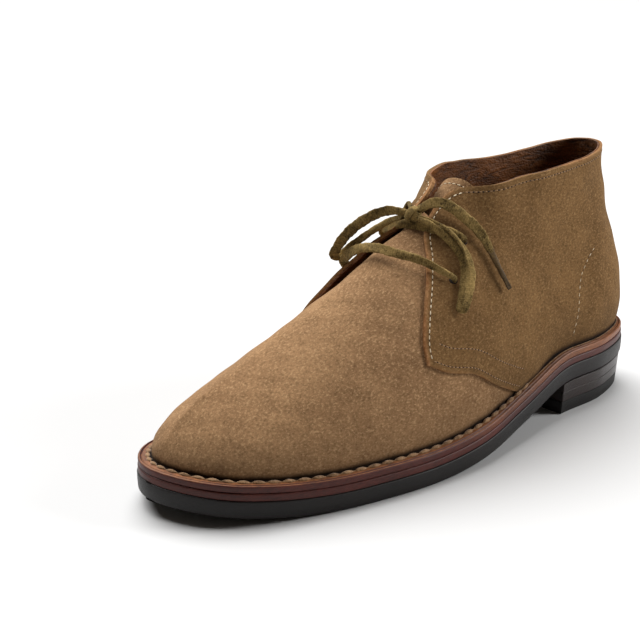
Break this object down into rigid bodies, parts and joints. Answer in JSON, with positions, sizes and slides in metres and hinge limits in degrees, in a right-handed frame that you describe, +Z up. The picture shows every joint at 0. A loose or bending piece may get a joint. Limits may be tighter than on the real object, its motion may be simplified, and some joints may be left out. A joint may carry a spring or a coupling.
{
  "type": "chukka boot",
  "caption": "Left ankle-high suede chukka boot, open at the collar, laced over a tongue, with a welted leather sole and a stacked heel.",
  "frame": {"origin": "on the floor, under the middle of the boot's box", "axes": "+Y from toe to heel, +X to the outer side of the foot, +Z up from the floor"},
  "size_m": [0.1048, 0.302, 0.1308],
  "materials": {
    "suede": "khaki-brown suede, short mottled nap",
    "welt_leather": "orange-brown waxed leather, satin",
    "midsole_edge": "burnished mahogany edge, satin",
    "sole_edge": "near-black brown burnished edge, soft sheen",
    "insole_leather": "smooth tan leather sock",
    "heel_leather": "dark stacked leather, polished edge",
    "top_piece_rubber": "matte black rubber",
    "lace": "olive waxed flat cotton",
    "lace_tip": "olive film tip, glossy"
  },
  "bodies": {
    "root": {"outsole": "sole_edge", "midsole": "midsole_edge", "welt": "welt_leather", "insole": "insole_leather", "heel_stack": "heel_leather", "heel_top_piece": "top_piece_rubber", "upper": "suede", "tongue": "suede", "lace_lower_bar": "lace", "lace_upper_bar": "lace", "lace_knot": "lace", "lace_loop_inner": "lace", "lace_loop_outer": "lace", "lace_end_outer": "lace", "lace_end_inner": "lace", "lace_tip_outer": "lace_tip", "lace_tip_inner": "lace_tip"}
  },
  "joints": []
}
